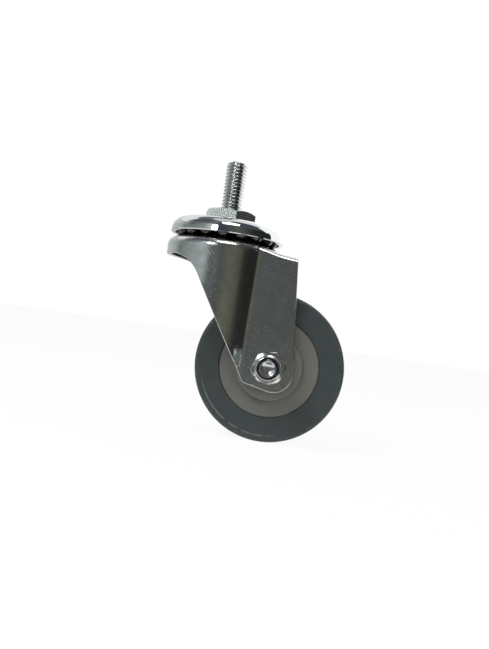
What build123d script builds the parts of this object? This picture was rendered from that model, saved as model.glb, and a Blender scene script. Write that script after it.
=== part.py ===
from build123d import *
import os
from math import asin, atan2, cos, degrees, floor, hypot, radians, sin, sqrt, tan

# Swivel castor with a threaded stem, a swivel head on two rows of loose balls, a pressed steel fork
# and a soft-tyred wheel on two ball bearings. Millimetres, +Z up the stem. The origin is on the
# swivel axis at the top face of the hex shoulder, +X trails towards the wheel, and the axle nut is
# on the -Y side, here called the near side.

os.makedirs("parts", exist_ok=True)

# --- driving sizes: stem --------------------------------------------------------------------------
stem_diameter = 11.11
stem_length = 26.0
stem_tip_chamfer = 1.2
hex_across_flats = 23.8
hex_height = 5.2
hex_turn = -12.5
king_pin_diameter = 12.0
rivet_shank_diameter = 10.0
rivet_head_margin = 1.5
rivet_head_height = 2.8
rivet_head_edge = 0.6

# --- driving sizes: swivel head -------------------------------------------------------------------
ball_play = 0.05
upper_ball_diameter = 8.0
upper_ball_pitch = 8.2
upper_row_inset = 6.7
lower_ball_diameter = 6.35
lower_ball_pitch = 7.0
cap_sheet = 2.5
cap_seat_radius = 11.4
cap_shoulder_drop = 1.205
cap_depth = 9.3
cap_skirt_flare = 5.0
cap_rim_bevel = 0.4
crown_dome_rise = 5.6
crown_dome_flank = 1.2
crown_hole_clearance = 1.5
crown_flat = 1.0
cup_sheet = 2.0
cup_neck_round = 1.5
cup_lip_angle = 40.0

# --- driving sizes: pressed fork ------------------------------------------------------------------
fork_sheet = 2.5
drum_overhang = 7.45
drum_forward = 0.8
drum_taper = 1.0
drum_edge_round = 4.5
crease_round = 4.0
ear_edge_round = 3.0
ear_slope_start = 16.0
ear_slope_drop = 3.6
ear_knee = 30.0
ear_tail_slope = 7.0
ear_slope_round = 14.0
ear_knee_round = 20.0
skirt_depth = 9.4
skirt_sweep_round = 20.0
front_edge_lean = 29.9
front_edge_reach = 14.95
toe_edge_slope = 12.7
toe_edge_reach = 11.3
rear_edge_lean = 5.0
rear_edge_reach = 12.1
toe_round = 3.0
heel_round = 9.5
cut_edge_round = 0.35

# --- driving sizes: axle and wheel ----------------------------------------------------------------
axle_trail = 31.5
axle_drop = 77.8
axle_diameter = 9.525
axle_end_stand = 1.05
axle_hole_clearance = 0.2
axle_tip_chamfer = 0.65
axle_head_flats = 14.29
axle_head_height = 6.0
sleeve_bore_clearance = 0.3
slip_fit = 0.02
nut_flats = 15.4
nut_hex_height = 8.2
nut_height = 11.3
nut_collar_diameter = 13.1
nut_collar_round = 1.2
nut_lip = 0.6
nut_turn = 10.0
insert_wall = 0.95
insert_height = 2.4
wheel_diameter = 76.2
tread_width = 31.75
tread_crown = 0.2
tyre_shoulder_round = 2.0
core_diameter = 50.6
core_rib_height = 3.0
core_rib_width = 9.0
core_face_recess = 0.4
seam_bevel = 0.4
hub_length = 38.1
hub_side_clearance = 0.85
boss_diameter = 33.6
boss_edge_round = 1.2
hub_shoulder_width = 1.4

# --- driving sizes: wheel bearings ----------------------------------------------------------------
bearing_outside = 21.0
bearing_bore = 12.0
bearing_width = 5.0
bearing_bevel = 0.3
bearing_ball_diameter = 2.38125
bearing_ball_count = 12
bearing_land_gap = 1.4
shield_thickness = 0.3
shield_recess = 0.1
shield_seat = 0.3
shield_gap = 0.2
cage_wall = 0.9
cage_back = 0.3
cage_mouth = 0.8
cage_play = 0.05

# --- heights and radii worked out from the driving sizes ------------------------------------------
leg_inside = hub_length / 2 + hub_side_clearance
leg_outside = leg_inside + fork_sheet
drum_radius = leg_outside + drum_overhang
upper_row_radius = drum_radius - upper_row_inset
upper_groove = upper_ball_diameter / 2 + ball_play
lower_groove = lower_ball_diameter / 2 + ball_play
upper_ball_z = -hex_height - cap_shoulder_drop - cap_sheet - upper_groove
crown_top = upper_ball_z - upper_groove
dome_top = crown_top + crown_dome_rise
lower_ball_z = dome_top - fork_sheet - lower_groove
row_drop = upper_ball_z - lower_ball_z
row_distance = hypot(upper_groove + fork_sheet + lower_groove, crown_dome_flank)
row_offset = sqrt(row_distance**2 - row_drop**2)
lower_row_radius = upper_row_radius - row_offset
flank_angle = degrees(atan2(row_drop, row_offset) + asin(crown_dome_flank / row_distance))
cup_top = lower_ball_z + cup_neck_round
skirt_lip_z = crown_top - skirt_depth
rivet_head_radius = lower_row_radius - lower_groove - cup_sheet - rivet_head_margin
axle_length = 2 * leg_outside + nut_height + axle_end_stand
wheel_radius = wheel_diameter / 2

# --- the axle and its planes ----------------------------------------------------------------------
axle_centre = Vector(axle_trail, 0, -axle_drop)
axle_line = Axis(axle_centre, (0, 1, 0))
# Profiles turned about the axle are drawn as (radius, distance towards +Y).
axle_plane = Plane(axle_centre, x_dir=(1, 0, 0), z_dir=(0, 0, 1))
near_leg_plane = Plane((axle_trail, -leg_outside, -axle_drop), x_dir=(1, 0, 0), z_dir=(0, -1, 0))
far_leg_plane = Plane((axle_trail, leg_outside, -axle_drop), x_dir=(1, 0, 0), z_dir=(0, 1, 0))


def balls_in_row(row_radius, pitch):
    """How many balls fill a row when their centres stay at least the pitch apart."""
    return floor(180 / degrees(asin(pitch / (2 * row_radius))))


def edge_from_axle(normal_angle, reach):
    """Straight edge of the fork's outline as (outward normal, distance), held off the axle."""
    normal = (cos(radians(normal_angle)), sin(radians(normal_angle)))
    return normal, normal[0] * axle_trail - normal[1] * axle_drop + reach


def outline_corner(first, second):
    """Point where two edges of the fork's outline meet."""
    (a, b), c = first
    (d, e), f = second
    spread = a * e - b * d
    return ((c * e - b * f) / spread, (a * f - c * d) / spread)


def hex_bevel(across_flats, plain_end, bevelled_end):
    """Half profile, (radius, height), that bevels the corners of a hexagon at one end."""
    reach = 0.6 * across_flats
    drop = (reach - across_flats / 2) * tan(radians(30))
    if bevelled_end < plain_end:
        drop = -drop
    return [
        (0, plain_end),
        (reach, plain_end),
        (reach, bevelled_end - drop),
        (across_flats / 2, bevelled_end),
        (0, bevelled_end),
    ]


# --- threaded stem: stem, hex shoulder, king pin and riveted end in one turning -------------------
with BuildPart() as threaded_stem:
    with BuildSketch(Plane.XY.offset(-hex_height)):
        RegularPolygon(hex_across_flats / 2, 6, major_radius=False, rotation=hex_turn)
    extrude(amount=hex_height)
    with BuildSketch(Plane.XZ):
        with BuildLine():
            Polyline(hex_bevel(hex_across_flats, -hex_height, 0), close=True)
        make_face()
    revolve(axis=Axis.Z, mode=Mode.INTERSECT)
    with BuildSketch():
        Circle(stem_diameter / 2)
    extrude(amount=stem_length)
    chamfer(edges().group_by(Axis.Z)[-1], stem_tip_chamfer)
    with BuildSketch(Plane.XY.offset(-hex_height)):
        Circle(king_pin_diameter / 2)
    extrude(amount=cup_top + hex_height)
    with BuildSketch(Plane.XY.offset(cup_top)):
        Circle(rivet_shank_diameter / 2)
    extrude(amount=-cup_sheet)
    # The riveted end is a low spherical head under the lower race cup.
    with BuildSketch(Plane.XZ):
        head_rise = rivet_head_height - rivet_head_edge
        sphere_radius = (rivet_head_radius**2 + head_rise**2) / (2 * head_rise)
        sphere_z = cup_top - cup_sheet - rivet_head_height + sphere_radius
        sphere_angle = degrees(asin(rivet_head_radius / sphere_radius))
        with BuildLine():
            head = CenterArc((0, sphere_z), sphere_radius, -90, sphere_angle)
            Polyline(
                head @ 1,
                (rivet_head_radius, cup_top - cup_sheet),
                (0, cup_top - cup_sheet),
                head @ 0,
            )
        make_face()
    revolve(axis=Axis.Z)

threaded_stem.part.label = "threaded_stem"
export_step(threaded_stem.part, "parts/threaded_stem.step")

# --- top cap: domed pressing whose shoulder is the outer race of the upper balls ------------------
with BuildPart() as top_cap:
    race = (upper_row_radius, upper_ball_z)
    shoulder = upper_groove + cap_sheet
    seat_offset = (upper_row_radius - cap_seat_radius, upper_ball_z + hex_height)
    slope = atan2(seat_offset[1], seat_offset[0]) + asin(shoulder / hypot(*seat_offset))
    shoulder_start = 90 + degrees(slope)
    shoulder_sweep = cap_skirt_flare - shoulder_start
    rim_z = -hex_height - cap_depth
    flare = tan(radians(cap_skirt_flare))
    with BuildSketch(Plane.XZ):
        with BuildLine():
            outer = CenterArc(race, shoulder, shoulder_start, shoulder_sweep)
            inner = CenterArc(race, upper_groove, shoulder_start, shoulder_sweep)
            outer_end = outer @ 1
            inner_end = inner @ 1
            Polyline(
                inner_end,
                (inner_end.X + (inner_end.Y - rim_z) * flare, rim_z),
                (outer_end.X + (outer_end.Y - rim_z) * flare - cap_rim_bevel, rim_z),
                (outer_end.X + (outer_end.Y - rim_z) * flare, rim_z + cap_rim_bevel),
                outer_end,
            )
            Polyline(
                outer @ 0,
                (cap_seat_radius, -hex_height),
                (king_pin_diameter / 2 + slip_fit, -hex_height),
                (king_pin_diameter / 2 + slip_fit, -hex_height - cap_sheet),
                (cap_seat_radius + cap_sheet * tan(slope / 2), -hex_height - cap_sheet),
                inner @ 0,
            )
        make_face()
    revolve(axis=Axis.Z)

top_cap.part.label = "top_cap"
export_step(top_cap.part, "parts/top_cap.step")

# --- the two rows of loose balls that carry the swivel head ---------------------------------------
with BuildPart() as upper_balls:
    with Locations((0, 0, upper_ball_z)):
        ball_count = balls_in_row(upper_row_radius, upper_ball_pitch)
        with PolarLocations(upper_row_radius, ball_count, start_angle=-90):
            Sphere(upper_ball_diameter / 2)

upper_balls.part.label = "upper_balls"
export_step(upper_balls.part, "parts/upper_balls.step")

with BuildPart() as lower_balls:
    with Locations((0, 0, lower_ball_z)):
        ball_count = balls_in_row(lower_row_radius, lower_ball_pitch)
        with PolarLocations(lower_row_radius, ball_count, start_angle=-90):
            Sphere(lower_ball_diameter / 2)

lower_balls.part.label = "lower_balls"
export_step(lower_balls.part, "parts/lower_balls.step")

# --- lower race cup: pressed ring under the lower balls, held by the riveted end ------------------
with BuildPart() as lower_race_cup:
    row = (lower_row_radius, lower_ball_z)
    cup_bore = rivet_shank_diameter / 2 + slip_fit
    cup_back = lower_groove + cup_sheet
    neck_centre = (lower_row_radius - lower_groove - cup_neck_round, lower_ball_z)
    lip_angle = 360 - cup_lip_angle
    back_angle = 180 + degrees(asin((cup_sheet - cup_neck_round) / cup_back))
    with BuildSketch(Plane.XZ):
        with BuildLine():
            neck = CenterArc(neck_centre, cup_neck_round, 90, -90)
            groove = CenterArc(row, lower_groove, 180, lip_angle - 180)
            back = CenterArc(row, cup_back, lip_angle, back_angle - lip_angle)
            Line(groove @ 1, back @ 0)
            Polyline(
                back @ 1,
                (cup_bore, cup_top - cup_sheet),
                (cup_bore, cup_top),
                neck @ 0,
            )
        make_face()
    revolve(axis=Axis.Z)

lower_race_cup.part.label = "lower_race_cup"
export_step(lower_race_cup.part, "parts/lower_race_cup.step")

# --- fork: one sheet pressed into a round drum with a race dome, two flat legs and rear ears ------
skirt_edge = ((0, -1), -skirt_lip_z)
front_edge = edge_from_axle(180 + front_edge_lean, front_edge_reach)
toe_edge = edge_from_axle(270 - toe_edge_slope, toe_edge_reach)
rear_edge = edge_from_axle(rear_edge_lean, rear_edge_reach)
top_edge = ((0, 1), dome_top + fork_sheet)
blank_floor = -axle_drop - 2 * toe_edge_reach
blank_rear = axle_trail + 2 * rear_edge_reach
blank_front = -drum_forward - 2 * drum_radius

with BuildPart() as fork:
    # Ears and legs start as one block as wide as the legs, its top falling away to the rear.
    with BuildSketch(Plane.XZ):
        knee = (ear_knee, crown_top - ear_slope_drop)
        tail_drop = (blank_rear - ear_knee) * tan(radians(ear_tail_slope))
        with BuildLine():
            Polyline(
                (0, blank_floor),
                (0, crown_top),
                (ear_slope_start, crown_top),
                knee,
                (blank_rear, knee[1] - tail_drop),
                (blank_rear, blank_floor),
                close=True,
            )
        make_face()
        fillet(vertices().sort_by_distance((ear_slope_start, crown_top))[0], ear_slope_round)
        fillet(vertices().sort_by_distance(knee)[0], ear_knee_round)
    extrude(amount=leg_outside, both=True)
    top_faces = faces().filter_by(lambda face: face.normal_at().Z > 0.5)
    fillet(top_faces.edges().filter_by(lambda edge: abs(edge.center().Y) > leg_inside), ear_edge_round)
    # The drum stands a little forward of the swivel axis and narrows slightly downwards.
    with BuildSketch(Plane.XZ):
        drum_front = -drum_forward - drum_radius
        narrowing = (crown_top - blank_floor) * tan(radians(drum_taper))
        with BuildLine():
            Polyline(
                (-drum_forward, crown_top),
                (drum_front, crown_top),
                (drum_front + narrowing, blank_floor),
                (-drum_forward, blank_floor),
                close=True,
            )
        make_face()
        fillet(vertices().sort_by_distance((drum_front, crown_top))[0], drum_edge_round)
    revolve(axis=Axis((-drum_forward, 0, 0), (0, 0, 1)))
    creases = edges(Select.NEW)
    # The sheet is open below and behind, and the creases are rounded.
    open_ends = faces().sort_by(Axis.Z)[:1] + faces().sort_by(Axis.X)[-1:]
    offset(amount=-fork_sheet, openings=open_ends)
    fillet([edges().sort_by_distance(crease @ 0.5)[0] for crease in creases], crease_round)
    # The outline of the pressed blank: skirt, swept front edge, heel and near-upright rear edge.
    with BuildSketch(Plane.XZ):
        sweep_corner = outline_corner(skirt_edge, front_edge)
        toe_corner = outline_corner(front_edge, toe_edge)
        heel_corner = outline_corner(toe_edge, rear_edge)
        with BuildLine():
            Polyline(
                (blank_front, dome_top),
                (blank_front, skirt_lip_z),
                sweep_corner,
                toe_corner,
                heel_corner,
                outline_corner(rear_edge, top_edge),
                close=True,
            )
        make_face()
        fillet(vertices().sort_by_distance(sweep_corner)[0], skirt_sweep_round)
        fillet(vertices().sort_by_distance(toe_corner)[0], toe_round)
        fillet(vertices().sort_by_distance(heel_corner)[0], heel_round)
    extrude(amount=1.2 * drum_radius, both=True, mode=Mode.INTERSECT)
    # The cut edges of the sheet are slightly rounded by tumbling and plating.
    fillet(edges(Select.NEW), cut_edge_round)
    # The crown is pressed up into a dome. Balls run round the foot of its flank and under its rim.
    with BuildSketch(Plane.XY.offset(crown_top)):
        Circle(upper_row_radius + crown_flat)
    extrude(amount=-fork_sheet, mode=Mode.SUBTRACT)
    with BuildSketch(Plane.XZ):
        upper_row = (upper_row_radius, upper_ball_z)
        lower_row = (lower_row_radius, lower_ball_z)
        sweep_angle = 90 - flank_angle
        flat_end = upper_row_radius + crown_flat
        dome_hole = king_pin_diameter / 2 + crown_hole_clearance
        with BuildLine():
            crest = CenterArc(lower_row, lower_groove + fork_sheet, 90, -sweep_angle)
            race = CenterArc(upper_row, upper_groove, 180 + flank_angle, sweep_angle)
            Line(crest @ 1, race @ 0)
            crest_under = CenterArc(lower_row, lower_groove, 90, -sweep_angle)
            race_under = CenterArc(upper_row, upper_groove + fork_sheet, 180 + flank_angle, sweep_angle)
            Line(crest_under @ 1, race_under @ 0)
            Polyline(
                race @ 1,
                (flat_end, crown_top),
                (flat_end, crown_top - fork_sheet),
                race_under @ 1,
            )
            Polyline(
                crest @ 0,
                (dome_hole, dome_top),
                (dome_hole, dome_top - fork_sheet),
                crest_under @ 0,
            )
        make_face()
    revolve(axis=Axis.Z)
    with BuildSketch(near_leg_plane):
        Circle((axle_diameter + axle_hole_clearance) / 2)
    extrude(amount=-2 * leg_outside, mode=Mode.SUBTRACT)

fork.part.label = "fork"
export_step(fork.part, "parts/fork.step")

# --- axle bolt: hex head on the far leg, its end standing proud of the nut on the near side -------
with BuildPart() as axle_bolt:
    with BuildSketch(far_leg_plane):
        RegularPolygon(axle_head_flats / 2, 6, major_radius=False, rotation=nut_turn)
    extrude(amount=axle_head_height)
    with BuildSketch(axle_plane):
        with BuildLine():
            Polyline(
                hex_bevel(axle_head_flats, leg_outside, leg_outside + axle_head_height),
                close=True,
            )
        make_face()
    revolve(axis=axle_line, mode=Mode.INTERSECT)
    with BuildSketch(far_leg_plane):
        Circle(axle_diameter / 2)
    extrude(amount=-axle_length)
    chamfer(edges().group_by(Axis.Y)[0], axle_tip_chamfer)

axle_bolt.part.label = "axle_bolt"
export_step(axle_bolt.part, "parts/axle_bolt.step")

# --- lock nut with a rolled collar, and the nylon ring held inside it -----------------------------
thread_radius = axle_diameter / 2 + slip_fit
insert_radius = thread_radius + insert_wall
insert_top = nut_height - nut_lip

with BuildPart() as axle_nut:
    with BuildSketch(near_leg_plane):
        RegularPolygon(nut_flats / 2, 6, major_radius=False, rotation=nut_turn)
    extrude(amount=nut_hex_height)
    with BuildSketch(axle_plane):
        with BuildLine():
            Polyline(
                hex_bevel(nut_flats, -leg_outside, -leg_outside - nut_hex_height),
                close=True,
            )
        make_face()
    revolve(axis=axle_line, mode=Mode.INTERSECT)
    with BuildSketch(near_leg_plane.offset(nut_hex_height)):
        Circle(nut_collar_diameter / 2)
    extrude(amount=nut_height - nut_hex_height)
    fillet(edges().group_by(Axis.Y)[0], nut_collar_round)
    with BuildSketch(near_leg_plane):
        Circle(thread_radius)
    extrude(amount=nut_height, mode=Mode.SUBTRACT)
    with BuildSketch(near_leg_plane.offset(insert_top)):
        Circle(insert_radius)
    extrude(amount=-insert_height, mode=Mode.SUBTRACT)
    with BuildSketch(near_leg_plane.offset(insert_top)):
        Circle((thread_radius + insert_radius) / 2)
    extrude(amount=nut_lip, mode=Mode.SUBTRACT)

axle_nut.part.label = "axle_nut"
export_step(axle_nut.part, "parts/axle_nut.step")

with BuildPart() as nut_insert:
    with BuildSketch(near_leg_plane.offset(insert_top)):
        Circle(insert_radius)
        Circle(thread_radius, mode=Mode.SUBTRACT)
    extrude(amount=-insert_height)

nut_insert.part.label = "nut_insert"
export_step(nut_insert.part, "parts/nut_insert.step")

# --- sleeve that the bolt clamps between the legs, and that the bearings sit on -------------------
with BuildPart() as axle_sleeve:
    with BuildSketch(near_leg_plane.offset(-fork_sheet)):
        Circle(bearing_bore / 2)
        Circle((axle_diameter + sleeve_bore_clearance) / 2, mode=Mode.SUBTRACT)
    extrude(amount=-2 * leg_inside)

axle_sleeve.part.label = "axle_sleeve"
export_step(axle_sleeve.part, "parts/axle_sleeve.step")

# --- wheel core: hub with two bearing pockets, and a rib that locks the tyre on -------------------
core_side = tread_width / 2 - core_face_recess
core_radius = core_diameter / 2
rib_radius = core_radius + core_rib_height
pocket_floor = hub_length / 2 - bearing_width

with BuildPart() as wheel_core:
    with BuildSketch(axle_plane):
        with BuildLine():
            Polyline(
                (bearing_outside / 2 - hub_shoulder_width, 0),
                (bearing_outside / 2 - hub_shoulder_width, pocket_floor),
                (bearing_outside / 2, pocket_floor),
                (bearing_outside / 2, hub_length / 2),
                (boss_diameter / 2, hub_length / 2),
                (boss_diameter / 2, core_side),
                (core_radius - seam_bevel, core_side),
                (core_radius, core_side - seam_bevel),
                (core_radius, core_rib_width / 2),
                (rib_radius, core_rib_width / 2),
                (rib_radius, 0),
                close=True,
            )
        make_face()
        boss_corner = (boss_diameter / 2, hub_length / 2)
        fillet(vertices().sort_by_distance(boss_corner)[0], boss_edge_round)
        mirror(about=Plane.XZ)
    revolve(axis=axle_line)

wheel_core.part.label = "wheel_core"
export_step(wheel_core.part, "parts/wheel_core.step")

# --- tyre moulded on the core ---------------------------------------------------------------------
with BuildPart() as tyre:
    with BuildSketch(axle_plane):
        side = tread_width / 2
        shoulder_corner = (wheel_radius - tread_crown, side)
        with BuildLine():
            ThreePointArc(shoulder_corner, (wheel_radius, 0), (shoulder_corner[0], -side))
            Polyline(
                shoulder_corner,
                (core_radius + seam_bevel, side),
                (core_radius, side - seam_bevel),
                (core_radius, core_rib_width / 2),
                (rib_radius, core_rib_width / 2),
                (rib_radius, -core_rib_width / 2),
                (core_radius, -core_rib_width / 2),
                (core_radius, seam_bevel - side),
                (core_radius + seam_bevel, -side),
                (shoulder_corner[0], -side),
            )
        make_face()
        fillet(vertices().group_by(Axis.X)[-1], tyre_shoulder_round)
    revolve(axis=axle_line)

tyre.part.label = "tyre"
export_step(tyre.part, "parts/tyre.step")

# --- two ball bearings, one in each end of the hub ------------------------------------------------
row_radius = (bearing_outside + bearing_bore) / 4
inner_land = row_radius - bearing_land_gap / 2
outer_land = row_radius + bearing_land_gap / 2
groove_radius = bearing_ball_diameter / 2 + ball_play
half_width = bearing_width / 2
shield_floor = half_width - shield_recess - shield_thickness
pocket_radius = bearing_ball_diameter / 2 + cage_play

for side_name, outward in (("near", -1), ("far", 1)):
    bearing_centre = axle_centre + (0, outward * (hub_length / 2 - half_width), 0)
    # Ring profiles are drawn as (radius, distance outboard) from the middle of the bearing.
    ring_plane = Plane(bearing_centre, x_dir=(1, 0, 0), z_dir=(0, 0, outward))
    row_plane = Plane(bearing_centre, x_dir=(1, 0, 0), z_dir=(0, outward, 0))

    with BuildPart() as outer_race:
        with BuildSketch(ring_plane):
            with Locations(((bearing_outside / 2 + outer_land) / 2, 0)):
                Rectangle(bearing_outside / 2 - outer_land, bearing_width)
            chamfer(vertices().group_by(Axis.X)[-1], bearing_bevel)
            with Locations((outer_land, half_width), (outer_land, -half_width)):
                Rectangle(2 * shield_seat, 2 * (half_width - shield_floor), mode=Mode.SUBTRACT)
            with Locations((row_radius, 0)):
                Circle(groove_radius, mode=Mode.SUBTRACT)
        revolve(axis=axle_line)

    outer_race.part.label = f"{side_name}_outer_race"
    export_step(outer_race.part, f"parts/{side_name}_outer_race.step")

    with BuildPart() as inner_race:
        with BuildSketch(ring_plane):
            inner_bore = bearing_bore / 2 + slip_fit
            with Locations(((inner_land + inner_bore) / 2, 0)):
                Rectangle(inner_land - inner_bore, bearing_width)
            chamfer(vertices().group_by(Axis.X)[0], bearing_bevel)
            with Locations((row_radius, 0)):
                Circle(groove_radius, mode=Mode.SUBTRACT)
        revolve(axis=axle_line)

    inner_race.part.label = f"{side_name}_inner_race"
    export_step(inner_race.part, f"parts/{side_name}_inner_race.step")

    with BuildPart() as bearing_balls:
        with Locations(row_plane):
            with PolarLocations(row_radius, bearing_ball_count):
                Sphere(bearing_ball_diameter / 2)

    bearing_balls.part.label = f"{side_name}_bearing_balls"
    export_step(bearing_balls.part, f"parts/{side_name}_bearing_balls.step")

    with BuildPart() as bearing_cage:
        with BuildSketch(row_plane.offset(cage_mouth)):
            Circle(row_radius + cage_wall / 2)
            Circle(row_radius - cage_wall / 2, mode=Mode.SUBTRACT)
        extrude(amount=-cage_mouth - pocket_radius - cage_back)
        with Locations(row_plane):
            with PolarLocations(row_radius, bearing_ball_count):
                Cylinder(pocket_radius, 2 * cage_wall, rotation=(0, 90, 0), mode=Mode.SUBTRACT)

    bearing_cage.part.label = f"{side_name}_bearing_cage"
    export_step(bearing_cage.part, f"parts/{side_name}_bearing_cage.step")

    with BuildPart() as outboard_shield:
        with BuildSketch(row_plane.offset(shield_floor)):
            Circle(outer_land + shield_seat)
            Circle(inner_land + shield_gap, mode=Mode.SUBTRACT)
        extrude(amount=shield_thickness)

    outboard_shield.part.label = f"{side_name}_outboard_shield"
    export_step(outboard_shield.part, f"parts/{side_name}_outboard_shield.step")

    with BuildPart() as inboard_shield:
        with BuildSketch(row_plane.offset(-shield_floor)):
            Circle(outer_land + shield_seat)
            Circle(inner_land + shield_gap, mode=Mode.SUBTRACT)
        extrude(amount=-shield_thickness)

    inboard_shield.part.label = f"{side_name}_inboard_shield"
    export_step(inboard_shield.part, f"parts/{side_name}_inboard_shield.step")
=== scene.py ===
"""Looks of a swivel castor: threads, turned and plated metal, a moulded wheel, and its studio.

Metres, in the frame of the solids: the origin is on the swivel axis at the top of the hex
shoulder, +Z runs up the stem, +X towards the wheel, and the lock nut is on the -Y side.
"""

import logging
import math
from dataclasses import dataclass, field
from enum import Enum
from typing import Callable, Dict, List, Optional, Sequence, Tuple, Union

import bmesh
import bpy
from mathutils import Matrix, Vector


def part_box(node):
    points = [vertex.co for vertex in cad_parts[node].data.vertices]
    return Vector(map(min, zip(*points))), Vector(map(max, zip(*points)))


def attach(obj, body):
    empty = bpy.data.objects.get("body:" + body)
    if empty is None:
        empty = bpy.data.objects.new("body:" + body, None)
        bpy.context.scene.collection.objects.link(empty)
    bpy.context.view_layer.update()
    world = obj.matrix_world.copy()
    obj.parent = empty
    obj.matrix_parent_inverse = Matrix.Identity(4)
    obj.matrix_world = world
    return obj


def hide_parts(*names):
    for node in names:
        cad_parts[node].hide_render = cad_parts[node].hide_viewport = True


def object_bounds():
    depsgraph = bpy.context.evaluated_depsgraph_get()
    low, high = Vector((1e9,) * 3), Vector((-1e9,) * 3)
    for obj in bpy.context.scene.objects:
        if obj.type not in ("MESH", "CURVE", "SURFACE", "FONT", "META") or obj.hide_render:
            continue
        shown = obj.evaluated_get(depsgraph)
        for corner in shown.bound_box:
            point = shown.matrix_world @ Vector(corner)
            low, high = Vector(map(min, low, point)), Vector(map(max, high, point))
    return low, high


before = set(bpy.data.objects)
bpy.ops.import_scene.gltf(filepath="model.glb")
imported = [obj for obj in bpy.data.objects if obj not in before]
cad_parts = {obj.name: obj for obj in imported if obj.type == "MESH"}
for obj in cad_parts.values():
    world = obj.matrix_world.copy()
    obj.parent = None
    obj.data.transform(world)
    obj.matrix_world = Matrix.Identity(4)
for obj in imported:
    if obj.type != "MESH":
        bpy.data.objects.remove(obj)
SOLID_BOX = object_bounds()

LOG = logging.getLogger("castor")
MM = 0.001
Colour = Tuple[float, float, float]
Number = Union[int, float]

AXLE_MM = (31.5, 0.0, -77.8)  # the middle of the wheel
ROW_MM = (23.15, -12.955)  # radius and height of the upper balls' centres


# --- shader and geometry graphs -------------------------------------------------------------------
class Flow:
    """One output socket, so that maths on it reads as Python."""

    def __init__(self, graph: "Graph", socket: bpy.types.NodeSocket) -> None:
        """Wraps a socket of the graph."""
        self.graph = graph
        self.socket = socket

    def __add__(self, other: "Term") -> "Flow":
        """Sum."""
        return self.graph.math("ADD", self, other)

    def __radd__(self, other: Number) -> "Flow":
        """Sum with a number first."""
        return self.graph.math("ADD", other, self)

    def __sub__(self, other: "Term") -> "Flow":
        """Difference."""
        return self.graph.math("SUBTRACT", self, other)

    def __rsub__(self, other: Number) -> "Flow":
        """Difference with a number first."""
        return self.graph.math("SUBTRACT", other, self)

    def __mul__(self, other: "Term") -> "Flow":
        """Product."""
        return self.graph.math("MULTIPLY", self, other)

    def __rmul__(self, other: Number) -> "Flow":
        """Product with a number first."""
        return self.graph.math("MULTIPLY", other, self)

    def __truediv__(self, other: "Term") -> "Flow":
        """Quotient."""
        return self.graph.math("DIVIDE", self, other)

    def __rtruediv__(self, other: Number) -> "Flow":
        """Quotient with a number first."""
        return self.graph.math("DIVIDE", other, self)

    def __pow__(self, other: "Term") -> "Flow":
        """Power."""
        return self.graph.math("POWER", self, other)

    def ramp(self, low: float, high: float, start: float = 0.0, end: float = 1.0) -> "Flow":
        """Smooth step.

        Args:
            low: value where the step begins.
            high: value where it ends.
            start: result below the step.
            end: result above the step.

        Returns:
            The stepped value.
        """
        values = {"Value": self, "From Min": low, "From Max": high, "To Min": start, "To Max": end}
        return self.graph.add("MapRange", {"interpolation_type": "SMOOTHSTEP"}, values)


Term = Union[Flow, float, int]


class Graph:
    """A node tree that is written with one method for any node and operators for maths."""

    prefix = "ShaderNode"

    def __init__(self, tree: bpy.types.NodeTree) -> None:
        """Wraps a node tree."""
        self.tree = tree

    def add(
        self,
        kind: str,
        settings: Optional[dict] = None,
        values: Optional[dict] = None,
        output: Union[int, str, None] = 0,
        prefix: Optional[str] = None,
    ) -> Optional[Flow]:
        """Adds any node.

        Args:
            kind: node type without its prefix.
            settings: properties, set first; "stops" holds a ramp's (position, colour) pairs.
            values: numbers, vectors or flows for the inputs, by name or index.
            output: the output that is returned, None for a node without any.
            prefix: another prefix for the type.

        Returns:
            The chosen output, or None.
        """
        node = self.tree.nodes.new((self.prefix if prefix is None else prefix) + kind)
        for name, value in (settings or {}).items():
            if name == "stops":
                self._set_stops(node.color_ramp, value)
            else:
                setattr(node, name, value)
        for name, value in (values or {}).items():
            socket = node.inputs[name]
            if isinstance(value, Flow):
                self.tree.links.new(value.socket, socket)
            else:
                socket.default_value = value
        return None if output is None else Flow(self, node.outputs[output])

    @staticmethod
    def _set_stops(ramp: bpy.types.ColorRamp, stops: Sequence[Tuple[float, Colour]]) -> None:
        """Fills a colour ramp.

        Args:
            ramp: the node's ramp.
            stops: positions from 0 to 1 with their colours.
        """
        while len(ramp.elements) < len(stops):
            ramp.elements.new(0.5)
        for element, (position, colour) in zip(ramp.elements, stops):
            element.position = position
            element.color = (*colour, 1.0)

    def math(self, operation: str, *terms: Term) -> Flow:
        """Math node on flows or numbers.

        Args:
            operation: the node's operation.
            terms: one to three terms.

        Returns:
            The result.
        """
        return self.add("Math", {"operation": operation}, dict(enumerate(terms)), prefix="ShaderNode")

    def blend(self, factor: Term, first: Union[Colour, Flow], second: Union[Colour, Flow]) -> Flow:
        """Mixes two colours.

        Args:
            factor: 0 for the first colour, 1 for the second.
            first: a colour or a flow of colours.
            second: the same.

        Returns:
            The mixed colour.
        """
        values = {0: factor}
        for index, value in ((6, first), (7, second)):
            values[index] = value if isinstance(value, Flow) else (*value, 1.0)
        return self.add("Mix", {"data_type": "RGBA", "clamp_factor": True}, values, output=2)


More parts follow.
